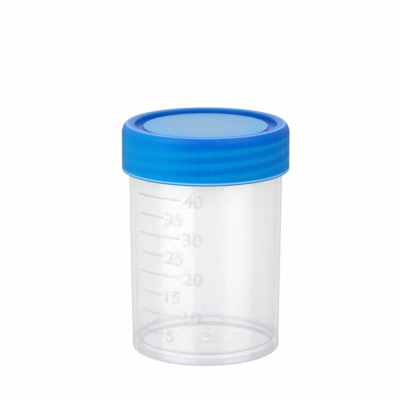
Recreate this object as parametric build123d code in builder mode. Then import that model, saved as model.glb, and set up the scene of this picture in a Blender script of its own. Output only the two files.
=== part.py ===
from build123d import *
import math
import os

# Screw-cap specimen container: a drafted polypropylene beaker, a fluted cap and a foam seal liner.
# Millimetres, +Z up. The origin is the centre of the foot, and the front of the object faces -Y.
# Azimuths are degrees from the front, growing towards +X.

# Beaker
base_diameter = 37.15
body_draft = 0.83
body_wall = 1.0
mouth_height = 55.5
floor_thickness = 1.2
foot_height = 1.2
foot_width = 1.4
foot_chamfer = 0.5
floor_chamfer = 1.0
gate_dimple_diameter = 7.5
gate_dimple_depth = 0.35
gate_dimple_taper = 30.0
gate_stub_diameter = 1.8
gate_stub_height = 0.5
gate_stub_taper = 5.0

# Neck and thread
neck_step = 0.15
neck_height = 8.5
thread_starts = 2
thread_lead = 6.0
thread_depth = 0.65
thread_root_width = 1.6
thread_crest_width = 0.8
thread_top_gap = 1.0
thread_sweep = 408.0
thread_end_azimuth = 18.0
cap_thread_sweep = 340.0
cap_thread_depth = 0.7
thread_sink = 0.3
runout_radius = 9.0
runout_turn = 0.04

# Cap
cap_wall = 1.0
cap_overlap = 9.15
cap_edge_chamfer = 0.3
shoulder_width = 1.05
shoulder_height = 2.4
rim_width = 2.3
panel_thickness = 1.05
recess_depth = 0.75
groove_width = 2.0
groove_extra_depth = 0.5
flute_count = 60
flute_azimuth = 1.0
flute_width = 0.55
flute_depth = 0.18
flute_plain_band = 1.5
flute_shoulder_gap = 0.25

# Seal liner
liner_thickness = 0.7

# Graduation marks
mark_volume = 5000.0
mark_count = 8
mark_proud = 0.2
mark_height = 0.35
mark_sink = 0.4
long_mark_from = -58.5
long_mark_to = -19.5
short_mark_from = -56.0
short_mark_to = -34.0

# Clearances
thread_radial_clearance = 0.25
thread_flank_clearance = 0.15
liner_radial_clearance = 0.4

# Derived sizes
slope = math.tan(math.radians(body_draft))
base_radius = base_diameter / 2
floor_top = foot_height + floor_thickness
neck_base = mouth_height - neck_height
thread_end_z = mouth_height - thread_top_gap
cap_edge = mouth_height - cap_overlap
panel_underside = mouth_height + liner_thickness
panel_top = panel_underside + panel_thickness
cap_top = panel_top + recess_depth


def outside_radius(z):
    """Outer radius of the drafted wall at height z."""
    return base_radius + z * slope


def inside_radius(z):
    """Inner radius of the drafted wall at height z."""
    return outside_radius(z) - body_wall


def polar_plane(azimuth):
    """Plane through the axis at an azimuth, with local x outwards and local y up."""
    angle = math.radians(azimuth - 90)
    outwards = (math.cos(angle), math.sin(angle), 0)
    return Plane(origin=(0, 0, 0), x_dir=outwards, z_dir=(math.sin(angle), -math.cos(angle), 0))


neck_radius = outside_radius(neck_base) - neck_step
thread_radius = neck_radius + thread_depth
cap_inner_radius = thread_radius + thread_radial_clearance
cap_radius = cap_inner_radius + cap_wall
rim_outer_radius = cap_radius - shoulder_width
rim_inner_radius = rim_outer_radius - rim_width
panel_radius = rim_inner_radius - groove_width
groove_floor = panel_top - groove_extra_depth
flute_bottom = cap_edge + flute_plain_band
shoulder_base = cap_top - shoulder_height
flute_top = shoulder_base - flute_shoulder_gap
liner_radius = cap_inner_radius - liner_radial_clearance
cap_thread_radius = cap_inner_radius - cap_thread_depth

# The shoulder is an arc that leaves the skirt upright, taken in two straight steps
shoulder_radius = (shoulder_width**2 + shoulder_height**2) / (2 * shoulder_width)
shoulder_half_turn = math.asin(shoulder_height / shoulder_radius) / 2
shoulder_bend_radius = cap_radius - shoulder_radius * (1 - math.cos(shoulder_half_turn))
shoulder_bend_z = shoulder_base + shoulder_radius * math.sin(shoulder_half_turn)

# Along the thread, the two ridges overlap between the cap's crest and the neck's crest. The cap's ridge
# hangs below the neck's by their half widths at the neck's crest and the flank clearance.
flank_lean = (thread_root_width - thread_crest_width) / 2
cap_half_width = thread_root_width / 2 - flank_lean * thread_radial_clearance / cap_thread_depth
neck_half_width = thread_root_width / 2 - flank_lean * (cap_thread_radius - neck_radius) / thread_depth
thread_offset = max(
    thread_crest_width / 2 + cap_half_width,
    thread_crest_width / 2 + neck_half_width,
) + thread_flank_clearance


def thread_ridge(end_z, sweep_angle, root_radius, crest_radius):
    """One ridge on a right-hand helix from +X. A flat on the neck, or a hollow in the cap, fades its ends."""
    outward = 1 if crest_radius > root_radius else -1
    sunk_radius = root_radius - outward * thread_sink
    sunk_half_width = thread_root_width / 2 + flank_lean * thread_sink / abs(crest_radius - root_radius)
    rise = thread_lead * sweep_angle / 360
    start_z = end_z - rise
    reach = thread_root_width / 2 + thread_flank_clearance + thread_lead * runout_turn
    with BuildPart() as one_ridge:
        with BuildLine() as path:
            Helix(thread_lead, rise, root_radius, center=(0, 0, start_z))
        with BuildSketch(Plane.XZ):
            with BuildLine():
                Polyline(
                    (sunk_radius, start_z - sunk_half_width),
                    (crest_radius, start_z - thread_crest_width / 2),
                    (crest_radius, start_z + thread_crest_width / 2),
                    (sunk_radius, start_z + sunk_half_width),
                    close=True,
                )
            make_face()
        sweep(path=path.line, is_frenet=True)
        for turned, z in ((0, start_z), (sweep_angle, end_z)):
            with BuildSketch(Plane.XY.offset(z - reach)):
                with PolarLocations(root_radius, 1, start_angle=turned):
                    if outward > 0:
                        Rectangle(2 * thread_depth, runout_radius, align=(Align.MIN, Align.CENTER))
                    else:
                        with Locations((-runout_radius, 0)):
                            Circle(runout_radius)
            extrude(amount=2 * reach, mode=Mode.SUBTRACT)
    return one_ridge.part


def mark_height_z(volume):
    """Level that a volume fills the drafted bore to."""
    floor_radius = inside_radius(floor_top)
    level_radius = (floor_radius**3 + 3 * volume * slope / math.pi) ** (1 / 3)
    return floor_top + (level_radius - floor_radius) / slope


neck_ridge = thread_ridge(thread_end_z, thread_sweep, neck_radius, thread_radius)
cap_ridge = thread_ridge(thread_end_z - thread_offset, cap_thread_sweep, cap_inner_radius, cap_thread_radius)

# Beaker
with BuildPart() as container:
    with BuildSketch(Plane.XZ):
        with BuildLine():
            Polyline(
                (0, foot_height),
                (base_radius - foot_width - foot_height * slope, foot_height),
                (base_radius - foot_width, 0),
                (base_radius, 0),
                (outside_radius(neck_base), neck_base),
                (neck_radius, neck_base + neck_step),
                (neck_radius, mouth_height),
                (inside_radius(mouth_height), mouth_height),
                (inside_radius(floor_top), floor_top),
                (0, floor_top),
                close=True,
            )
        make_face()
    revolve(axis=Axis.Z)
    rings = container.edges().filter_by(GeomType.CIRCLE)
    outer_foot = rings.group_by(Axis.Z)[0].sort_by(SortBy.RADIUS)[-1]
    floor_corner = rings.sort_by(lambda ring: abs(ring.center().Z - floor_top))[0]
    chamfer(outer_foot, length=foot_chamfer)
    chamfer(floor_corner, length=floor_chamfer)

    # Gate mark under the floor
    with BuildSketch(Plane.XY.offset(foot_height)):
        Circle(gate_dimple_diameter / 2)
    extrude(amount=gate_dimple_depth, taper=gate_dimple_taper, mode=Mode.SUBTRACT)
    with BuildSketch(Plane.XY.offset(foot_height + gate_dimple_depth)):
        Circle(gate_stub_diameter / 2)
    extrude(amount=-gate_stub_height, taper=gate_stub_taper)

    with PolarLocations(0, thread_starts, start_angle=thread_end_azimuth - thread_sweep - 90):
        add(neck_ridge)

    # Graduation marks: every second one is long
    for mark in range(1, mark_count + 1):
        z = mark_height_z(mark * mark_volume)
        mark_from = short_mark_from if mark % 2 else long_mark_from
        mark_to = short_mark_to if mark % 2 else long_mark_to
        with BuildSketch(polar_plane(mark_from)):
            with BuildLine():
                Polyline(
                    (outside_radius(z) - mark_sink, z - mark_height / 2),
                    (outside_radius(z), z - mark_height / 2),
                    (outside_radius(z) + mark_proud, z - mark_height / 4),
                    (outside_radius(z) + mark_proud, z + mark_height / 4),
                    (outside_radius(z), z + mark_height / 2),
                    (outside_radius(z) - mark_sink, z + mark_height / 2),
                    close=True,
                )
            make_face()
        revolve(axis=Axis.Z, revolution_arc=mark_to - mark_from)

# Cap
with BuildPart() as cap:
    with BuildSketch(Plane.XZ):
        with BuildLine():
            Polyline(
                (rim_outer_radius, cap_top),
                (rim_inner_radius, cap_top),
                (rim_inner_radius, groove_floor),
                (panel_radius, groove_floor),
                (panel_radius, panel_top),
                (0, panel_top),
                (0, panel_underside),
                (cap_inner_radius, panel_underside),
                (cap_inner_radius, cap_edge),
                (cap_radius, cap_edge),
                (cap_radius, shoulder_base),
                (shoulder_bend_radius, shoulder_bend_z),
                close=True,
            )
        make_face()
    revolve(axis=Axis.Z)
    rings = cap.edges().filter_by(GeomType.CIRCLE)
    outer_edge = rings.group_by(Axis.Z)[0].sort_by(SortBy.RADIUS)[-1]
    chamfer(outer_edge, length=cap_edge_chamfer)

    # Grip flutes stand on a plain band and stop below the shoulder. Their cutters reach past the wall.
    with BuildSketch(Plane.XY.offset(flute_bottom)):
        with PolarLocations(cap_radius - flute_depth, flute_count, start_angle=flute_azimuth - 90):
            Polygon((0, 0), (2 * flute_depth, -flute_width), (2 * flute_depth, flute_width), align=None)
    extrude(amount=flute_top - flute_bottom, mode=Mode.SUBTRACT)

    with PolarLocations(0, thread_starts, start_angle=thread_end_azimuth - cap_thread_sweep - 90):
        add(cap_ridge)

# Seal liner
with BuildPart() as seal_liner:
    with BuildSketch(Plane.XY.offset(mouth_height)):
        Circle(liner_radius)
    extrude(amount=liner_thickness)

container.part.label = "container"
cap.part.label = "cap"
seal_liner.part.label = "seal_liner"

os.makedirs("parts", exist_ok=True)
export_step(container.part, "parts/container.step")
export_step(cap.part, "parts/cap.step")
export_step(seal_liner.part, "parts/seal_liner.step")
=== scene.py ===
import math

import bmesh
import bpy
from bpy.props import FloatProperty, FloatVectorProperty, IntProperty, PointerProperty
from bpy.types import Operator, Panel, PropertyGroup
from mathutils import Matrix, Vector


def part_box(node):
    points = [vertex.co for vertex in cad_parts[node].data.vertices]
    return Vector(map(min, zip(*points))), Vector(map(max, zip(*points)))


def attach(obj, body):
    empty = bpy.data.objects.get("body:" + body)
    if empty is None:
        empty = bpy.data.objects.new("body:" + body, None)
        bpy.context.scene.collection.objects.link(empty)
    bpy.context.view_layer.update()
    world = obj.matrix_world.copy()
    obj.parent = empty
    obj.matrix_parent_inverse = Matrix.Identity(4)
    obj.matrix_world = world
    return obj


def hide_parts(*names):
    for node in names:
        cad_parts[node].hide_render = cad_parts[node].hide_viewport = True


bl_info = {
    "name": "Specimen Container",
    "version": (1, 0, 0),
    "blender": (4, 5, 0),
    "location": "View3D > Sidebar > Container",
    "description": "Dresses a screw-cap specimen container: beaker, graduation, cap, liner and studio",
    "category": "Object",
}

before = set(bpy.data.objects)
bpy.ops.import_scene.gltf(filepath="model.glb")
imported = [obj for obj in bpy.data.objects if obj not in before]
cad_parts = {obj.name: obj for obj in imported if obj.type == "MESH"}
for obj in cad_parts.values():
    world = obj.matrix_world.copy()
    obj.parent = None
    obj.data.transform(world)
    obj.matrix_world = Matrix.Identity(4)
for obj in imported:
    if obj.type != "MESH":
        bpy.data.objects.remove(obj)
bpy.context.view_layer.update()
_, BEAKER_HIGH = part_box("container")
CAP_LOW, CAP_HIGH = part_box("cap")
LINER_LOW, LINER_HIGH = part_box("seal_liner")
TURN = 2 * math.pi
MM = 0.001
MILLILITRE = 1e-6

# How finely the meshes are cut, and the angles past which their edges stay sharp
BEAKER_COLUMNS = 288
LINER_COLUMNS = 144
ARC_STEPS = 5
WALL_START = 3 * MM
WALL_STEP = 4 * MM
SKIRT_STEP = 0.8 * MM
NECK_THREAD_STEP = 0.12 * MM
CAP_THREAD_STEP = 0.13 * MM
MARK_STEP = math.radians(1.2)
LATHE_SHARP = math.radians(38)
NUMBER_SHARP = math.radians(30)

# Small details of the raised graduation and of the liner
MARK_SINK = 0.3 * MM
DIGIT_BEVEL = 0.05 * MM
DIGIT_SHARE = 0.7
LINER_ROUND = 0.12 * MM

# Fine texture of moulded plastic
FINE_GRAIN = (5200.0, 5200.0, 5200.0)
BUMP_DISTANCE = 0.05 * MM

# Stage: the white that gloss sees, half the floor's side in metres, and a softbox's raise by its height
BACKGROUND_IN_GLOSS = 0.1
FLOOR_REACH = 3.0
BOX_RAISE = 0.3


# Sizes and colours ------------------------------------------------------------------------------


def length(name, description, millimetres):
    """A length property, given in millimetres and kept in metres."""
    return FloatProperty(
        name=name, description=description, default=millimetres * MM, unit="LENGTH", precision=5
    )


def angle(name, description, degrees):
    """An angle property, given in degrees."""
    return FloatProperty(name=name, description=description, default=math.radians(degrees), unit="ROTATION")


def colour(name, description, red, green, blue):
    """A linear colour property."""
    return FloatVectorProperty(
        name=name, description=description, default=(red, green, blue), subtype="COLOR", size=3, min=0, max=1
    )


def factor(name, description, value):
    """A share between nothing and all."""
    return FloatProperty(name=name, description=description, default=value, min=0, max=1, subtype="FACTOR")


def plain_number(name, description, value):
    """A plain number."""
    return FloatProperty(name=name, description=description, default=value)


class BeakerSettings(PropertyGroup):
    """Sizes of the beaker"""

    base_radius: length("Base radius", "Outer radius of the foot", 18.575)
    draft: angle("Draft", "Lean of the moulded wall", 0.83)
    wall: length("Wall", "Thickness of the wall", 1.0)
    floor_top: length("Floor", "Height of the floor inside", 2.4)
    floor_thickness: length("Floor thickness", "Thickness of the floor", 1.2)
    floor_round: length("Floor round", "Inside round between floor and wall", 1.3)
    foot_width: length("Foot width", "Width of the foot ring", 1.4)
    foot_round: length("Foot round", "Outside round of the foot", 0.7)
    dimple_radius: length("Gate dimple radius", "Dimple round the gate mark", 3.75)
    dimple_depth: length("Gate dimple depth", "Depth of the dimple under the floor", 0.35)
    stub_radius: length("Gate stub radius", "Radius of the gate stub", 0.9)
    stub_height: length("Gate stub height", "Height of the gate stub", 0.5)
    nub_radius: length("Nub radius", "Radius of the nub in the middle of the floor", 1.1)
    nub_height: length("Nub height", "Height of the nub in the middle of the floor", 0.7)
    neck_base: length("Neck base", "Height where the neck steps in", 47.0)
    neck_step: length("Neck step", "How far the neck steps in", 0.15)
    mouth_round: length("Mouth round", "Round on the rim of the mouth", 0.22)


class ThreadSettings(PropertyGroup):
    """Sizes of the screw thread on beaker and cap"""

    starts: IntProperty(name="Starts", description="Ridges that run side by side", default=2, min=1)
    lead: length("Lead", "Rise in one turn", 6.0)
    depth: length("Depth", "Height of a ridge on the neck", 0.65)
    cap_depth: length("Cap depth", "Height of a ridge in the cap", 0.7)
    root_width: length("Root width", "Width of a ridge at its foot", 1.6)
    crest_width: length("Crest width", "Width of a ridge at its top", 0.8)
    top_gap: length("Top gap", "From the mouth to the middle of the last ridge", 1.0)
    end_azimuth: angle("End", "Where the ridges end, from the front", 18)
    sweep: angle("Sweep", "Angle that a ridge on the neck runs through", 399)
    cap_sweep: angle("Cap sweep", "Angle that a ridge in the cap runs through", 340.4)
    offset: length("Offset", "How far a cap ridge hangs below a neck ridge", 1.227)
    fade: angle("Fade", "Angle over which a ridge runs out at its ends", 13)


class MarkSettings(PropertyGroup):
    """Sizes and places of the graduation marks and numbers"""

    step: plain_number("Step", "Volume between marks, in millilitres", 5.0)
    count: IntProperty(name="Count", description="Number of marks", default=8, min=1)
    proud: length("Proud", "How far a mark stands off the wall", 0.17)
    height: length("Height", "Height of a mark", 0.36)
    long_from: angle("Long from", "Where a long mark starts", -58.5)
    long_to: angle("Long to", "Where a long mark ends", -19.5)
    short_from: angle("Short from", "Where a short mark starts", -56.0)
    short_to: angle("Short to", "Where a short mark ends", -34.0)
    digit_height: length("Digit height", "Height of the numbers", 3.1)
    digit_stretch: plain_number("Digit stretch", "How much wider the digits are", 1.14)
    digit_gap: angle("Digit gap", "From the end of a mark to its number", 2.3)
    digit_drop: length("Digit drop", "How far the middle of a number is below its mark", 0.22)
    digit_proud: length("Digit proud", "How far the numbers stand off the wall", 0.17)


class CapSettings(PropertyGroup):
    """Sizes of the cap"""

    wall: length("Wall", "Thickness of the skirt", 1.0)
    shoulder_width: length("Shoulder width", "How far the shoulder leans in", 1.05)
    shoulder_height: length("Shoulder height", "How far down the shoulder starts", 2.4)
    rim_width: length("Rim width", "Width of the flat rim", 2.3)
    recess_depth: length("Recess depth", "Depth of the panel below the rim", 0.75)
    groove_width: length("Groove width", "Width of the groove round the panel", 2.0)
    groove_depth: length("Groove depth", "Depth of the groove below the panel", 0.5)
    edge_round: length("Edge round", "Round at the lower edge", 0.2)
    small_round: length("Small round", "Round on the groove edges", 0.18)
    rim_round: length("Rim round", "Round on the outer edge of the rim", 0.4)
    rim_inner_round: length("Inner rim round", "Round on the inner edge of the rim", 0.7)
    flutes: IntProperty(name="Flutes", description="Number of grip flutes", default=60, min=3)
    flute_azimuth: angle("Flute phase", "Where one flute stands, from the front", 1.0)
    flute_width: angle("Flute width", "Half width of a flute", 0.85)
    flute_depth: length("Flute depth", "Depth of a flute", 0.1)
    plain_band: length("Plain band", "Plain band below the flutes", 1.5)


class FinishSettings(PropertyGroup):
    """Colours and gloss of the three plastics"""

    natural: colour("Natural", "Natural polypropylene", 0.965, 0.975, 0.985)
    natural_thick: colour("Natural, thick", "Natural polypropylene where it is thick", 0.62, 0.64, 0.74)
    # Painted shade: the raised graduation is greyer than the wall, standing in for the shade along its
    # raised edges
    natural_raised: colour("Natural, raised", "Natural plastic of the raised graduation", 0.76, 0.775, 0.79)
    natural_alpha: factor("Natural cover", "How much a thin natural wall hides", 0.235)
    thick_alpha: factor("Thick cover", "How much thick natural plastic hides", 0.7)
    raised_alpha: factor("Raised cover", "How much the raised graduation hides", 0.4)
    natural_gloss: factor("Natural gloss", "Specular level of the natural plastic", 1.0)
    natural_rough: factor("Natural roughness", "Roughness of the natural plastic", 0.25)
    blue: colour("Blue", "Blue polypropylene of middle thickness", 0.0, 0.175, 0.56)
    blue_thin: colour("Blue, thin", "Blue plastic with the white neck close behind", 0.0, 0.26, 0.6)
    blue_thick: colour("Blue, thick", "Blue polypropylene where it is thick", 0.0, 0.12, 0.53)
    blue_panel: colour("Blue panel", "Edge of the thin panel over the white liner", 0.12, 0.375, 0.66)
    panel_middle: colour("Panel middle", "Middle of the panel over the white liner", 0.235, 0.385, 0.56)
    # Painted highlight: the light line along the cap's lower lip
    blue_lip: colour("Blue lip", "Blue polypropylene at the thin lower lip", 0.25, 0.66, 0.98)
    # Painted highlight: the light ring along the rim's outer edge
    blue_rim: colour("Blue rim", "Light edge of the cap's rim", 0.15, 0.4, 0.8)
    # Painted shade: the deep line at the cap's very lower edge
    blue_under: colour("Blue edge", "Blue polypropylene at the very edge", 0.01, 0.16, 0.36)
    skirt_tint: colour("Skirt sheen", "Tint of the skirt's reflection seen straight on", 0.1, 0.4, 1.0)
    crown_tint: colour("Crown sheen", "Tint of the crown's reflection seen straight on", 0.5, 0.8, 1.0)
    # Painted light: lighter blue for the skirt's left front, where the left softbox lights it
    blue_side: colour("Blue side", "Blue plastic on the side where the wall is thinnest", 0.0, 0.29, 0.63)
    crown_gloss: factor("Crown gloss", "Specular level of the polished crown", 0.13)
    skirt_gloss: factor("Skirt gloss", "Specular level of the satin skirt", 0.03)
    blue_rough: factor("Blue roughness", "Roughness of the blue plastic", 0.27)
    foam: colour("Foam", "White foam of the liner", 0.86, 0.87, 0.88)
    foam_shade: colour("Foam shade", "White foam between its cells", 0.75, 0.76, 0.77)


class StudioSettings(PropertyGroup):
    """Camera, lights and floor"""

    focal_pixels: plain_number("Focal length", "Focal length in pixels", 2264.58)
    image_pixels: plain_number("Image width", "Width of the image in pixels", 400)
    elevation: angle("Elevation", "How far the camera looks down", 13.361)
    distance: length("Distance", "From the camera to its target", 570.93)
    aim_x: length("Aim X", "Sideways place of the target", -1.4266)
    aim_z: length("Aim Z", "Height of the target", 38.063)
    fill_level: plain_number("Fill", "Brightness of the plain surroundings", 0.28)
    behind_level: plain_number("Behind", "Brightness behind the object", 1.0)
    above_level: plain_number("Above", "Brightness overhead", 1.35)
    left_level: plain_number("Left box", "Brightness of the left softbox", 1.85)
    left_azimuth: angle("Left azimuth", "Where the left softbox stands, from the front", -43)
    left_width: length("Left width", "Width of the left softbox", 124)
    right_level: plain_number("Right box", "Brightness of the right softbox", 1.5)
    right_azimuth: angle("Right azimuth", "Where the right softbox stands, from the front", 49)
    right_width: length("Right width", "Width of the right softbox", 100)
    box_distance: length("Box distance", "From the object to a softbox", 130)
    box_height: length("Box height", "Height of a softbox", 360)
    floor_grey: factor("Floor grey", "How light the floor is where light falls on it", 0.55)
    floor_white: factor("Floor white", "How much of the floor is seen as plain white", 0.983)


class ContainerSettings(PropertyGroup):
    """All the settings of the container"""

    beaker: PointerProperty(type=BeakerSettings)
    thread: PointerProperty(type=ThreadSettings)
    marks: PointerProperty(type=MarkSettings)
    cap: PointerProperty(type=CapSettings)
    finish: PointerProperty(type=FinishSettings)
    studio: PointerProperty(type=StudioSettings)


# Outlines and lathing ---------------------------------------------------------------------------


def rounded(corners):
    """Turn (radius, height, round) corners into points, with an arc at each corner that has a round."""
    points = []
    for index, (x, z, size) in enumerate(corners):
        here = Vector((x, z))
        if not size or index in (0, len(corners) - 1):
            points.append(here)
            continue
        back = Vector(corners[index - 1][:2]) - here
        ahead = Vector(corners[index + 1][:2]) - here
        half = back.angle(ahead) / 2
        reach = min(size / math.tan(half), 0.49 * back.length, 0.49 * ahead.length)
        radius = reach * math.tan(half)
        centre = here + (back.normalized() + ahead.normalized()).normalized() * radius / math.sin(half)
        first = here + back.normalized() * reach - centre
        swing = first.angle_signed(here + ahead.normalized() * reach - centre)
        for step in range(ARC_STEPS + 1):
            points.append(centre + Matrix.Rotation(-swing * step / ARC_STEPS, 2) @ first)
    return points


def spread(low, high, step):
    """Evenly spaced values from low to high, both included, no further apart than step."""
    count = max(1, math.ceil(abs(high - low) / step))
    return [low + (high - low) * index / count for index in range(count + 1)]


def around(radius, azimuth, z):
    """The place at a radius, an azimuth from the front and a height."""
    return Vector((radius * math.sin(azimuth), -radius * math.cos(azimuth), z))


def link(name, data):
    """Put a new object into the scene."""
    piece = bpy.data.objects.new(name, data)
    bpy.context.scene.collection.objects.link(piece)
    return piece


def finished_mesh(name, form, sharp):
    """A smooth mesh from a bmesh, with edges steeper than an angle kept sharp."""
    bmesh.ops.recalc_face_normals(form, faces=form.faces)
    mesh = bpy.data.meshes.new(name)
    form.to_mesh(mesh)
    form.free()
    mesh.shade_smooth()
    mesh.set_sharp_from_angle(angle=sharp)
    return mesh


def lathe(name, outline, azimuths, radius_at=None):
    """Turn an outline that starts and ends on the axis about Z.

    radius_at(index, azimuth, point), if given, says how far a point stands from the axis.
    """
    form = bmesh.new()
    rings = []
    for index, point in enumerate(outline):
        if index in (0, len(outline) - 1):
            rings.append([form.verts.new((0, 0, point.y))])
            continue
        ring = []
        for azimuth in azimuths:
            radius = radius_at(index, azimuth, point) if radius_at else point.x
            ring.append(form.verts.new(around(radius, azimuth, point.y)))
        rings.append(ring)
    count = len(azimuths)
    for below, above in zip(rings, rings[1:]):
        for here in range(count):
            there = (here + 1) % count
            corners = [below[here % len(below)], below[there % len(below)]]
            corners += [above[there % len(above)], above[here % len(above)]]
            form.faces.new(list(dict.fromkeys(corners)))
    return link(name, finished_mesh(name, form, LATHE_SHARP))


def columns(count):
    """Azimuths evenly round the circle."""
    return [TURN * index / count - math.pi for index in range(count)]


# Forms shared by the beaker and the cap ---------------------------------------------------------


def wall_radius(beaker, z):
    """Outer radius of the drafted wall at a height."""
    return beaker.base_radius + z * math.tan(beaker.draft)


def level(beaker, marks, number):
    """Height that a number of steps of volume fills the beaker to."""
    slope = math.tan(beaker.draft)
    floor_radius = wall_radius(beaker, beaker.floor_top) - beaker.wall
    volume = number * marks.step * MILLILITRE
    radius = (floor_radius**3 + 3 * volume * slope / math.pi) ** (1 / 3)
    return beaker.floor_top + (radius - floor_radius) / slope


def ridge_height(thread, azimuth, z, end_z, sweep):
    """How much of a thread ridge stands at an azimuth and height, from 0 to 1."""
    pitch = thread.lead / thread.starts
    best = 0.0
    for start in range(thread.starts):
        run = (azimuth - thread.end_azimuth - TURN * start / thread.starts) % TURN
        back = TURN - run
        while back <= sweep:
            middle = end_z - thread.lead * back / TURN
            away = abs(z - middle)
            if away < pitch / 2:
                lean = (thread.root_width - thread.crest_width) / 2
                side = (thread.root_width / 2 - away) / lean
                ends = min(back, sweep - back) / thread.fade
                best = max(best, min(1.0, max(0.0, side), ends))
            back += TURN
    return best


# Materials --------------------------------------------------------------------------------------


class Signal:
    """A shader socket that takes part in Python arithmetic, adding a Math node for each step."""

    def __init__(self, nodes, socket):
        self.nodes = nodes
        self.socket = socket

    def maths(self, operation, *values):
        """Add a Math node with a value or a signal in each of its inputs."""
        node = self.nodes.add("ShaderNodeMath", {"operation": operation}, dict(enumerate(values)))
        return Signal(self.nodes, node.outputs[0])

    def __add__(self, other):
        return self.maths("ADD", self, other)

    def __sub__(self, other):
        return self.maths("SUBTRACT", self, other)

    def __rsub__(self, other):
        return self.maths("SUBTRACT", other, self)

    def __mul__(self, other):
        return self.maths("MULTIPLY", self, other)

    def __truediv__(self, other):
        return self.maths("DIVIDE", self, other)

    __radd__ = __add__
    __rmul__ = __mul__

    def root(self):
        """The square root."""
        return self.maths("SQRT", self)

    def most(self, other):
        """The larger of two values."""
        return self.maths("MAXIMUM", self, other)

    def wave(self):
        """Cosine of a number of whole turns, brought between 0 and 1."""
        return self.maths("COSINE", self * TURN) * 0.5 + 0.5

    def rise(self, low, high):
        """Rise smoothly from 0 at low to 1 at high."""
        values = {"Value": self, "From Min": low, "From Max": high}
        node = self.nodes.add("ShaderNodeMapRange", {"interpolation_type": "SMOOTHSTEP"}, values)
        return Signal(self.nodes, node.outputs["Result"])

    def peak(self, low, middle, high):
        """Rise smoothly from 0 at low to 1 at middle, and fall back to 0 at high."""
        return self.rise(low, middle) * (1 - self.rise(middle, high))


class Nodes:
    """Adds nodes to one shader tree."""

    def __init__(self, tree):
        self.tree = tree

    def add(self, kind, settings=None, values=None):
        """Add a node: its settings first, then a value or a link for each socket."""
        node = self.tree.nodes.new(kind)
        for name, setting in (settings or {}).items():
            setattr(node, name, setting)
        for socket, value in (values or {}).items():
            self.set(node.inputs[socket], value)
        return node

    def set(self, socket, value):
        """Give a socket a value, or link a signal or another node's socket to it."""
        if isinstance(value, Signal):
            self.tree.links.new(value.socket, socket)
        elif isinstance(value, bpy.types.NodeSocket):
            self.tree.links.new(value, socket)
        elif socket.type == "RGBA":
            socket.default_value = (*value[:3], 1.0)
        else:
            socket.default_value = value

    def read(self, kind, output, settings=None, values=None):
        """Add a node and give one of its outputs."""
        return Signal(self, self.add(kind, settings, values).outputs[output])

    def split(self, vector):
        """The x, y and z of a vector."""
        node = self.add("ShaderNodeSeparateXYZ", values={0: vector})
        return [Signal(self, output) for output in node.outputs]

    def noise(self, vector, scale, detail=3.0, roughness=0.5):
        """Soft cloudy noise, with a scale for each axis."""
        scaled = self.read("ShaderNodeVectorMath", 0, {"operation": "MULTIPLY"}, {0: vector, 1: scale})
        values = {"Vector": scaled, "Scale": 1.0, "Detail": detail, "Roughness": roughness}
        return self.read("ShaderNodeTexNoise", 0, {"noise_dimensions": "3D"}, values)

    def blend(self, share, first, second):
        """A colour between two colours."""
        return self.read("ShaderNodeMix", 2, {"data_type": "RGBA"}, {0: share, 6: first, 7: second})


class Finish(Nodes):
    """One material, built round its Principled shader."""

    def __init__(self, name, constants):
        self.material = bpy.data.materials.new(name)
        self.material.use_nodes = True
        super().__init__(self.material.node_tree)
        self.surface = self.tree.nodes["Principled BSDF"]
        for socket, value in constants.items():
            self.set(self.surface.inputs[socket], value)

    def place(self):
        """The piece's own coordinates."""
        return self.read("ShaderNodeTexCoord", "Object")

    def feed(self, **signals):
        """Link signals to the Principled shader, by the names of its sockets with _ for a space."""
        for name, signal in signals.items():
            self.set(self.surface.inputs[name.replace("_", " ")], signal)

    def bump(self, height, distance, strength):
        """Turn a height into the shader's normal."""
        values = {"Height": height, "Distance": distance, "Strength": strength}
        self.feed(Normal=self.read("ShaderNodeBump", 0, values=values))


def about_axis(nodes, place):
    """Radius, azimuth in turns from +X, and height of a place."""
    x, y, z = nodes.split(place)
    radius = (x * x + y * y).root()
    turns = x.maths("ARCTAN2", y, x) / TURN
    return radius, turns, z


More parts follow.
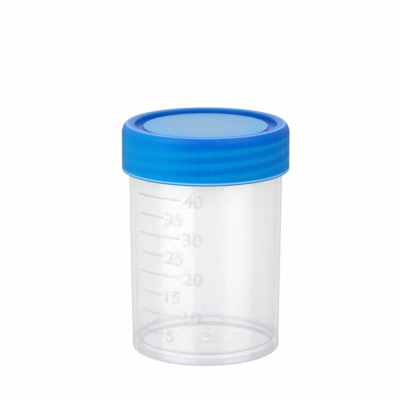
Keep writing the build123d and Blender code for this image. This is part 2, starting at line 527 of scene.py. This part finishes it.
def natural_polypropylene(settings, name, raised):
    """Translucent natural plastic, milky where it is thick, with flow clouds and a fine mould grain."""
    finish, beaker = settings.finish, settings.beaker
    cover = finish.raised_alpha if raised else finish.natural_alpha
    # Alpha thins the gloss along with the colour, so the index is set above the plastic's own 1.49
    nodes = Finish(name, {"IOR": 1.8, "Specular IOR Level": finish.natural_gloss, "Alpha": cover})
    place = nodes.place()
    radius, _, z = about_axis(nodes, place)
    flow = nodes.noise(place, (260.0, 260.0, 60.0), 4.0, 0.55)
    grain = nodes.noise(place, FINE_GRAIN, 2.0, 0.6)
    top = beaker.floor_top
    corner = wall_radius(beaker, top) - beaker.wall
    # It is thick at the foot, in the ring where floor meets wall and low in the wall; the darker patch at
    # the gate is painted shade of the dimple under the floor
    foot = 1 - z.rise(top - beaker.floor_thickness, top + 0.2 * MM)
    floor_ring = radius.peak(corner - 2.0 * MM, corner - 0.6 * MM, corner + 0.3 * MM)
    floor_ring = floor_ring * (1 - z.rise(top + 0.4 * MM, top + 1.4 * MM))
    gate = (1 - radius.rise(2.6 * MM, beaker.dimple_radius)) * foot
    low_wall = 1 - z.rise(0.0, 16 * MM)
    thick = foot * 0.2 + floor_ring * 0.85 + gate * 0.35 + low_wall * 0.22 + (flow - 0.5) * 0.15
    thick = thick.rise(0.0, 1.0)
    # The raised graduation takes its greyer colour, a painted shade
    tone = nodes.blend(thick, finish.natural_raised if raised else finish.natural, finish.natural_thick)
    rough = finish.natural_rough + (flow - 0.5) * 0.1 + (grain - 0.5) * 0.05
    # The nub in the middle of the floor is clear
    nub_top = top + beaker.nub_height
    clear = 1 - radius.rise(0.8 * beaker.nub_radius, 1.1 * beaker.nub_radius)
    clear = clear * (1 - z.rise(nub_top, nub_top + 1 * MM))
    # A wall seen edge-on hides more of what is behind it
    facing = nodes.read("ShaderNodeLayerWeight", "Facing")
    outside = 1 - (wall_radius(beaker, z) - radius).rise(0.2 * beaker.wall, 0.7 * beaker.wall)
    edge_on = facing.rise(0.45, 1.0) * outside * 0.3
    alpha = (cover + thick * (finish.thick_alpha - cover) + edge_on) * (1 - clear)
    nodes.feed(Base_Color=tone, Roughness=rough, Alpha=alpha)
    nodes.bump(flow * 0.6 + grain * 0.12, BUMP_DISTANCE, 0.5)
    return nodes.material


def blue_polypropylene(settings, name, gloss, tint):
    """Translucent blue plastic, light where it is thin between the ridges and deep at the crown."""
    finish, cap, thread = settings.finish, settings.cap, settings.thread
    nodes = Finish(name, {"IOR": 1.49, "Specular IOR Level": gloss, "Specular Tint": tint})
    place = nodes.place()
    radius, turns, z = about_axis(nodes, place)
    cloud = nodes.noise(place, (210.0, 210.0, 110.0), 4.0, 0.6)
    streak = nodes.noise(place, (900.0, 900.0, 60.0), 2.0, 0.5)
    grain = nodes.noise(place, FINE_GRAIN, 2.0, 0.6)
    low, top, outer = CAP_LOW.z, CAP_HIGH.z, CAP_HIGH.x
    # Light bands follow the thread, between its ridges
    pitch = thread.lead / thread.starts
    end_z = BEAKER_HIGH.z - thread.top_gap
    climb = (z - end_z) / pitch - (turns - (thread.end_azimuth / TURN - 0.25)) * thread.starts
    band = (climb + (cloud - 0.5) * 0.12).wave().rise(0.2, 0.95)
    threaded = z.rise(low + 0.7 * MM, low + 1.6 * MM) * (1 - z.rise(end_z + 0.5 * MM, end_z + 1.1 * MM))
    skirt = radius.rise(outer - 2.5 * MM, outer - 1.8 * MM)
    crown = z.rise(end_z + 0.4 * MM, end_z + 1.6 * MM) * (1 - z.rise(top - 0.3 * MM, top - 0.06 * MM))
    thick = crown * 1.3 + (1 - band) * threaded * skirt * 0.35 + (cloud - 0.5) * 0.5
    thin = band * threaded * skirt * 0.65 + (streak - 0.5) * 0.3 * skirt
    tone = nodes.blend(thick, finish.blue, finish.blue_thick)
    tone = nodes.blend(thin, tone, finish.blue_thin)
    # Painted light: the skirt's left front is a lighter blue, where the left softbox lights it
    x, y, _ = nodes.split(place)
    side = ((x * -0.87 + y * -0.5) / outer).rise(0.55, 1.0)
    tone = nodes.blend(side * skirt * (0.3 + cloud * 0.5), tone, finish.blue_side)
    # Painted highlight: a light line along the lower lip, above a painted shade line at its very edge, and a
    # lighter blue over the low band. The rim's light outer edge is a painted highlight too.
    low_band = 1 - z.rise(low + 0.5 * MM, low + 2.4 * MM)
    rim_edge = outer - cap.shoulder_width
    # Painted highlight: a light ring on the rim's outer edge
    rim = radius.peak(rim_edge - 0.8 * MM, rim_edge - 0.15 * MM, rim_edge + 0.2 * MM)
    rim = rim * z.rise(top - 0.25 * MM, top - 0.05 * MM)
    lip = z.peak(low + 0.26 * MM, low + 0.5 * MM, low + 0.85 * MM)
    under = 1 - z.rise(low + 0.2 * MM, low + 0.34 * MM)
    tone = nodes.blend(low_band * 0.5, tone, finish.blue_thin)
    tone = nodes.blend(rim, tone, finish.blue_rim)
    tone = nodes.blend(lip * 0.9, tone, finish.blue_lip)
    tone = nodes.blend(under * 0.9, tone, finish.blue_under)
    # The thin panel shows the white liner below it
    panel_edge = rim_edge - cap.rim_width - cap.groove_width
    panel_top = top - cap.recess_depth
    panel = 1 - radius.rise(panel_edge - 0.15 * MM, panel_edge + 0.1 * MM)
    panel = panel * z.rise(panel_top - 0.3 * MM, panel_top - 0.1 * MM)
    middle = 1 - radius.rise(0.25 * panel_edge, panel_edge)
    paler = nodes.blend(middle * 0.7 + (cloud - 0.5) * 1.2, finish.blue_panel, finish.panel_middle)
    tone = nodes.blend(panel, tone, paler)
    rough = finish.blue_rough + (cloud - 0.5) * 0.12 + (grain - 0.5) * 0.05 + panel * 0.1
    nodes.feed(Base_Color=tone, Roughness=rough)
    nodes.bump(cloud * 0.5 + grain * 0.15, BUMP_DISTANCE, 0.5)
    return nodes.material


def white_foam(settings):
    """Closed-cell foam with fine cells."""
    finish = settings.finish
    nodes = Finish("white_foam", {"IOR": 1.45, "Specular IOR Level": 0.2})
    place = nodes.place()
    cells = {"Vector": place, "Scale": 2600.0}
    depth = nodes.read("ShaderNodeTexVoronoi", "Distance", {"feature": "F1"}, cells)
    cloud = nodes.noise(place, (220.0, 220.0, 220.0))
    tone = nodes.blend(cloud * 0.5 + depth * 0.4, finish.foam, finish.foam_shade)
    nodes.feed(Base_Color=tone, Roughness=cloud * 0.2 + 0.62)
    nodes.bump(1 - depth, 0.00008, 0.6)
    return nodes.material


# Pieces -----------------------------------------------------------------------------------------


def beaker_outline(settings):
    """Outline of the beaker, from the gate stub up the outside, over the mouth and down to the nub."""
    beaker = settings.beaker
    floor_under = beaker.floor_top - beaker.floor_thickness
    dimple_top = floor_under + beaker.dimple_depth
    mouth = BEAKER_HIGH.z
    neck_radius = wall_radius(beaker, beaker.neck_base) - beaker.neck_step
    foot_inner = beaker.base_radius - beaker.foot_width
    slope = math.tan(beaker.draft)
    under = [
        (0, dimple_top - beaker.stub_height, 0),
        (beaker.stub_radius * 0.9, dimple_top - beaker.stub_height, 0.15 * MM),
        (beaker.stub_radius, dimple_top, 0.1 * MM),
        (beaker.dimple_radius - beaker.dimple_depth, dimple_top, 0.3 * MM),
        (beaker.dimple_radius, floor_under, 0.3 * MM),
        (foot_inner - floor_under * slope, floor_under, 0.4 * MM),
        (foot_inner, 0, 0.3 * MM),
        (beaker.base_radius, 0, beaker.foot_round),
        (wall_radius(beaker, WALL_START), WALL_START, 0),
    ]
    wall_heights = spread(WALL_START, beaker.neck_base, WALL_STEP)[1:-1]
    wall = [(wall_radius(beaker, z), z, 0) for z in wall_heights]
    step = [
        (wall_radius(beaker, beaker.neck_base), beaker.neck_base, 0.05 * MM),
        (neck_radius, beaker.neck_base + beaker.neck_step, 0.05 * MM),
    ]
    neck_heights = spread(beaker.neck_base + 0.2 * MM, mouth - 0.24 * MM, NECK_THREAD_STEP)
    neck = [(neck_radius, z, 0) for z in neck_heights]
    inner_mouth = wall_radius(beaker, mouth) - beaker.wall
    inner_floor = wall_radius(beaker, beaker.floor_top) - beaker.wall
    inside = [
        (neck_radius, mouth, beaker.mouth_round),
        (inner_mouth, mouth, beaker.mouth_round),
        (inner_floor, beaker.floor_top, beaker.floor_round),
        (0.6 * inner_floor, beaker.floor_top, 0),
        (beaker.nub_radius, beaker.floor_top, 0.1 * MM),
        (0.75 * beaker.nub_radius, beaker.floor_top + beaker.nub_height, 0.5 * MM),
        (0, beaker.floor_top + beaker.nub_height, 0),
    ]
    return rounded(under + wall + step + neck + inside)


def make_beaker(settings):
    """The beaker, with the thread raised on its neck."""
    beaker, thread = settings.beaker, settings.thread
    outline = beaker_outline(settings)
    end_z = BEAKER_HIGH.z - thread.top_gap
    top_index = max(range(len(outline)), key=lambda index: outline[index].y)

    def radius_at(index, azimuth, point):
        """The neck's outside carries the ridges, and the rest is round."""
        if index > top_index or point.y <= beaker.neck_base:
            return point.x
        return point.x + thread.depth * ridge_height(thread, azimuth, point.y, end_z, thread.sweep)

    return lathe("beaker", outline, columns(BEAKER_COLUMNS), radius_at)


def add_mark(form, beaker, marks, middle, start, end):
    """Add one raised mark, bent round the wall, with sloping sides and ends."""
    half = marks.height / 2
    below = ((-MARK_SINK, -half), (0, -half), (marks.proud, -0.5 * half))
    section = below + tuple((proud, -rise) for proud, rise in reversed(below))
    rings = []
    for azimuth in spread(start, end, MARK_STEP):
        ring = []
        for proud, rise in section:
            radius = wall_radius(beaker, middle + rise) + proud
            ring.append(form.verts.new(around(radius, azimuth, middle + rise)))
        rings.append(ring)
    for here, there in zip(rings, rings[1:]):
        for index in range(len(section)):
            after = (index + 1) % len(section)
            form.faces.new((here[index], there[index], there[after], here[after]))
    form.faces.new(rings[0])
    form.faces.new(list(reversed(rings[-1])))


def number_mesh(beaker, marks, number):
    """The mesh of one number, bent round the wall beside its mark."""
    text = bpy.data.curves.new("number", "FONT")
    text.body = str(int(number * marks.step))
    # A digit stands DIGIT_SHARE of the size of its text
    text.size = marks.digit_height / DIGIT_SHARE
    text.align_x = "LEFT"
    text.space_character = 1.02
    text.resolution_u = 5
    text.extrude = marks.digit_proud
    text.bevel_depth = DIGIT_BEVEL
    text.bevel_resolution = 1
    text.offset = -0.9 * DIGIT_BEVEL
    label = link("number", text)
    bpy.context.view_layer.update()
    mesh = bpy.data.meshes.new_from_object(label.evaluated_get(bpy.context.evaluated_depsgraph_get()))
    bpy.data.objects.remove(label)
    start = marks.short_to if number % 2 else marks.long_to
    middle = level(beaker, marks, number) - marks.digit_drop
    low = min(vertex.co.y for vertex in mesh.vertices)
    left = min(vertex.co.x for vertex in mesh.vertices)
    for vertex in mesh.vertices:
        z = middle + vertex.co.y - low - marks.digit_height / 2
        along = (vertex.co.x - left) * marks.digit_stretch
        azimuth = start + marks.digit_gap + along / wall_radius(beaker, z)
        vertex.co = around(wall_radius(beaker, z) + vertex.co.z, azimuth, z)
    return mesh


def make_graduation(settings):
    """The graduation marks and numbers, raised and bent round the wall."""
    beaker, marks = settings.beaker, settings.marks
    form = bmesh.new()
    for number in range(1, marks.count + 1):
        mesh = number_mesh(beaker, marks, number)
        form.from_mesh(mesh)
        bpy.data.meshes.remove(mesh)
    for number in range(1, marks.count + 1):
        ends = (marks.short_from, marks.short_to) if number % 2 else (marks.long_from, marks.long_to)
        add_mark(form, beaker, marks, level(beaker, marks, number), *ends)
    bmesh.ops.remove_doubles(form, verts=form.verts, dist=0.0001 * MM)
    return link("graduation", finished_mesh("graduation", form, NUMBER_SHARP))


def cap_outline(settings):
    """Outline of the cap from the middle of the panel, over the rim, down the skirt and up inside."""
    cap = settings.cap
    top, low, outer = CAP_HIGH.z, CAP_LOW.z, CAP_HIGH.x
    rim_outer = outer - cap.shoulder_width
    rim_inner = rim_outer - cap.rim_width
    panel_edge = rim_inner - cap.groove_width
    panel_top = top - cap.recess_depth
    groove_floor = panel_top - cap.groove_depth
    small = cap.small_round
    crown = [
        (0, panel_top, 0),
        (0.25 * panel_edge, panel_top, 0),
        (0.7 * panel_edge, panel_top, 0),
        (panel_edge, panel_top, small),
        (panel_edge, groove_floor, small),
        (rim_inner, groove_floor, small),
        (rim_inner, top, cap.rim_inner_round),
        (rim_outer, top, cap.rim_round),
    ]
    # The shoulder is an arc that leaves the skirt upright
    arc_radius = (cap.shoulder_width**2 + cap.shoulder_height**2) / (2 * cap.shoulder_width)
    span = math.asin(cap.shoulder_height / arc_radius)
    shoulder = []
    shoulder_base = top - cap.shoulder_height
    for turn in spread(span, 0, span / 10)[1:]:
        radius = outer - arc_radius * (1 - math.cos(turn))
        shoulder.append((radius, shoulder_base + arc_radius * math.sin(turn), 0))
    skirt = [(outer, z, 0) for z in spread(shoulder_base - 0.6 * MM, low + 0.6 * MM, SKIRT_STEP)]
    inner = outer - cap.wall
    under = LINER_HIGH.z
    edge = [(outer, low, cap.edge_round), (inner, low, 0.2 * MM)]
    inside = [(inner, z, 0) for z in spread(low + 0.25 * MM, under - 0.5 * MM, CAP_THREAD_STEP)]
    ceiling = [(inner, under, 0.3 * MM), (0.7 * inner, under, 0), (0.25 * inner, under, 0), (0, under, 0)]
    return rounded(crown + shoulder + skirt + edge + inside + ceiling)


def make_cap(settings):
    """The cap, with grip flutes outside and the thread inside."""
    cap, thread = settings.cap, settings.thread
    outline = cap_outline(settings)
    outer = CAP_HIGH.x
    inner = outer - cap.wall
    end_z = BEAKER_HIGH.z - thread.top_gap - thread.offset
    low_index = min(range(len(outline)), key=lambda index: outline[index].y)
    band_top = CAP_LOW.z + cap.plain_band
    shoulder_base = CAP_HIGH.z - cap.shoulder_height

    def radius_at(index, azimuth, point):
        """Flutes cut into the skirt outside, and ridges stand out of it inside."""
        if index > low_index + 3 and point.x > inner - 0.05 * MM:
            ridge = ridge_height(thread, azimuth, point.y, end_z, thread.cap_sweep)
            return point.x - thread.cap_depth * ridge
        if index < low_index and point.y > band_top - 0.3 * MM and point.x > outer - cap.shoulder_width:
            period = TURN / cap.flutes
            away = abs((azimuth - cap.flute_azimuth + period / 2) % period - period / 2)
            groove = max(0.0, 1 - (away / cap.flute_width) ** 2)
            fade = min(1.0, (point.y - band_top + 0.3 * MM) / (0.5 * MM))
            run_out = max(0.0, 1 - max(0.0, point.y - shoulder_base) / (0.8 * cap.shoulder_height))
            return point.x - cap.flute_depth * groove * fade * run_out
        return point.x

    # Degrees from the middle of a flute to each column of points
    flute_columns = (-0.85, -0.45, 0, 0.45, 0.85, 1.4, 3.0, 4.6)
    azimuths = []
    for flute in range(cap.flutes):
        middle = cap.flute_azimuth + TURN * flute / cap.flutes
        azimuths += [(middle + math.radians(away) + math.pi) % TURN - math.pi for away in flute_columns]
    return lathe("cap_shell", outline, sorted(azimuths), radius_at)


def make_liner():
    """The foam liner, with its cut edge slightly rounded."""
    low, high, edge = LINER_LOW.z, LINER_HIGH.z, LINER_HIGH.x
    corners = [(0, low, 0), (0.5 * edge, low, 0), (0.96 * edge, low, 0), (edge, low, LINER_ROUND)]
    corners += [(edge, high, LINER_ROUND), (0.96 * edge, high, 0), (0.5 * edge, high, 0), (0, high, 0)]
    return lathe("liner_disc", rounded(corners), columns(LINER_COLUMNS))


def dress(piece, material, node):
    """Give a piece its material, stand it in for its CAD node and let it ride with that node's body."""
    piece.data.materials.clear()
    piece.data.materials.append(material)
    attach(piece, node)
    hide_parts(node)


# Operators --------------------------------------------------------------------------------------


class SPECIMEN_OT_beaker(Operator):
    """Build the translucent beaker with its thread and graduation"""

    bl_idname = "specimen.beaker"
    bl_label = "Build Beaker"

    def execute(self, context):
        settings = context.scene.specimen_container
        walls = natural_polypropylene(settings, "natural_polypropylene", False)
        raised = natural_polypropylene(settings, "natural_polypropylene_raised", True)
        dress(make_beaker(settings), walls, "container")
        dress(make_graduation(settings), raised, "container")
        return {"FINISHED"}


class SPECIMEN_OT_cap(Operator):
    """Build the blue screw cap"""

    bl_idname = "specimen.cap"
    bl_label = "Build Cap"

    def execute(self, context):
        settings = context.scene.specimen_container
        finish = settings.finish
        skirt = blue_polypropylene(settings, "blue_polypropylene", finish.skirt_gloss, finish.skirt_tint)
        crown_name = "blue_polypropylene_crown"
        crown = blue_polypropylene(settings, crown_name, finish.crown_gloss, finish.crown_tint)
        piece = make_cap(settings)
        dress(piece, skirt, "cap")
        piece.data.materials.append(crown)
        crown_base = CAP_HIGH.z - 0.6 * settings.cap.shoulder_height
        for face in piece.data.polygons:
            face.material_index = 1 if face.center.z > crown_base else 0
        return {"FINISHED"}


class SPECIMEN_OT_liner(Operator):
    """Build the foam seal liner"""

    bl_idname = "specimen.liner"
    bl_label = "Build Liner"

    def execute(self, context):
        settings = context.scene.specimen_container
        dress(make_liner(), white_foam(settings), "seal_liner")
        return {"FINISHED"}


class SPECIMEN_OT_studio(Operator):
    """Set up the pale floor, softboxes, surroundings and camera"""

    bl_idname = "specimen.studio"
    bl_label = "Build Studio"

    def execute(self, context):
        studio = context.scene.specimen_container.studio
        make_floor(studio)
        make_world(studio)
        make_softbox(studio, "left_softbox", studio.left_level, studio.left_azimuth, studio.left_width)
        make_softbox(studio, "right_softbox", studio.right_level, studio.right_azimuth, studio.right_width)
        make_camera(studio)
        context.scene.view_settings.view_transform = "Standard"
        return {"FINISHED"}


def background_share(nodes):
    """How much a ray sees plain white: all from the camera or through glass, and a little in gloss."""
    camera = nodes.read("ShaderNodeLightPath", "Is Camera Ray")
    through = nodes.read("ShaderNodeLightPath", "Is Transmission Ray")
    gloss = nodes.read("ShaderNodeLightPath", "Is Glossy Ray")
    return camera.most(through).most(gloss * BACKGROUND_IN_GLOSS)


def make_floor(studio):
    """A pale floor that the camera sees as white, with the object's shadow kept."""
    mesh = bpy.data.meshes.new("floor")
    form = bmesh.new()
    bmesh.ops.create_grid(form, x_segments=1, y_segments=1, size=FLOOR_REACH)
    form.to_mesh(mesh)
    form.free()
    floor = link("floor", mesh)
    grey = [studio.floor_grey] * 3
    nodes = Finish("pale_floor", {"Base Color": grey, "Roughness": 0.9, "Specular IOR Level": 0.0})
    white = nodes.add("ShaderNodeEmission", values={"Color": (1, 1, 1), "Strength": 1.0})
    share = background_share(nodes) * studio.floor_white
    shaders = {0: share, 1: nodes.surface.outputs[0], 2: white.outputs[0]}
    mix = nodes.add("ShaderNodeMixShader", values=shaders)
    nodes.set(nodes.tree.nodes["Material Output"].inputs["Surface"], mix.outputs[0])
    mesh.materials.append(nodes.material)
    floor.visible_glossy = False


def make_world(studio):
    """White surroundings for the camera, and for light bright behind and overhead and dim elsewhere."""
    world = bpy.data.worlds.new("studio")
    world.use_nodes = True
    nodes = Nodes(world.node_tree)
    _, y, z = nodes.split(nodes.read("ShaderNodeTexCoord", "Generated"))
    behind = y.rise(0.7, 0.95) * z.rise(0.02, 0.2) * (1 - z.rise(0.45, 0.7))
    behind = behind * (studio.behind_level - studio.fill_level)
    above = z.rise(0.5, 0.9) * (studio.above_level - studio.fill_level)
    level = behind + above + studio.fill_level
    seen = background_share(nodes)
    background = world.node_tree.nodes["Background"]
    nodes.set(background.inputs["Color"], (1, 1, 1))
    nodes.set(background.inputs["Strength"], level * (1 - seen) + seen)
    bpy.context.scene.world = world


def make_softbox(studio, name, brightness, azimuth, width):
    """An upright softbox that faces the object and reaches below the floor."""
    lamp = bpy.data.lights.new(name, "AREA")
    lamp.shape = "RECTANGLE"
    lamp.size = width
    lamp.size_y = studio.box_height
    lamp.energy = brightness * math.pi * width * studio.box_height
    box = link(name, lamp)
    box.location = around(studio.box_distance, azimuth, BOX_RAISE * studio.box_height)
    box.rotation_euler = around(1, azimuth, 0).to_track_quat("Z", "Y").to_euler()
    box.visible_camera = False


def make_camera(studio):
    """The camera, level from side to side and looking slightly down."""
    lens = bpy.data.cameras.new("camera")
    lens.sensor_width = 36
    lens.lens = studio.focal_pixels / studio.image_pixels * lens.sensor_width
    lens.clip_start = 0.01
    camera = link("camera", lens)
    away = Vector((0, -math.cos(studio.elevation), math.sin(studio.elevation))) * studio.distance
    camera.location = Vector((studio.aim_x, 0, studio.aim_z)) + away
    camera.rotation_euler = (math.pi / 2 - studio.elevation, 0, 0)
    bpy.context.scene.camera = camera


# Panel and registration -------------------------------------------------------------------------


class SPECIMEN_PT_panel(Panel):
    """Lists the operators that build the container"""

    bl_label = "Specimen Container"
    bl_idname = "SPECIMEN_PT_panel"
    bl_space_type = "VIEW_3D"
    bl_region_type = "UI"
    bl_category = "Container"

    def draw(self, context):
        for operator in (SPECIMEN_OT_beaker, SPECIMEN_OT_cap, SPECIMEN_OT_liner, SPECIMEN_OT_studio):
            self.layout.operator(operator.bl_idname)


CLASSES = (
    BeakerSettings,
    ThreadSettings,
    MarkSettings,
    CapSettings,
    FinishSettings,
    StudioSettings,
    ContainerSettings,
    SPECIMEN_OT_beaker,
    SPECIMEN_OT_cap,
    SPECIMEN_OT_liner,
    SPECIMEN_OT_studio,
    SPECIMEN_PT_panel,
)


def register():
    """Add the settings, operators and panel to Blender."""
    for entry in CLASSES:
        bpy.utils.register_class(entry)
    bpy.types.Scene.specimen_container = PointerProperty(type=ContainerSettings)


def unregister():
    """Take them out again."""
    del bpy.types.Scene.specimen_container
    for entry in reversed(CLASSES):
        bpy.utils.unregister_class(entry)


def main():
    """Build every piece and the stage."""
    register()
    bpy.ops.specimen.beaker()
    bpy.ops.specimen.cap()
    bpy.ops.specimen.liner()
    bpy.ops.specimen.studio()


if __name__ == "__main__":
    main()
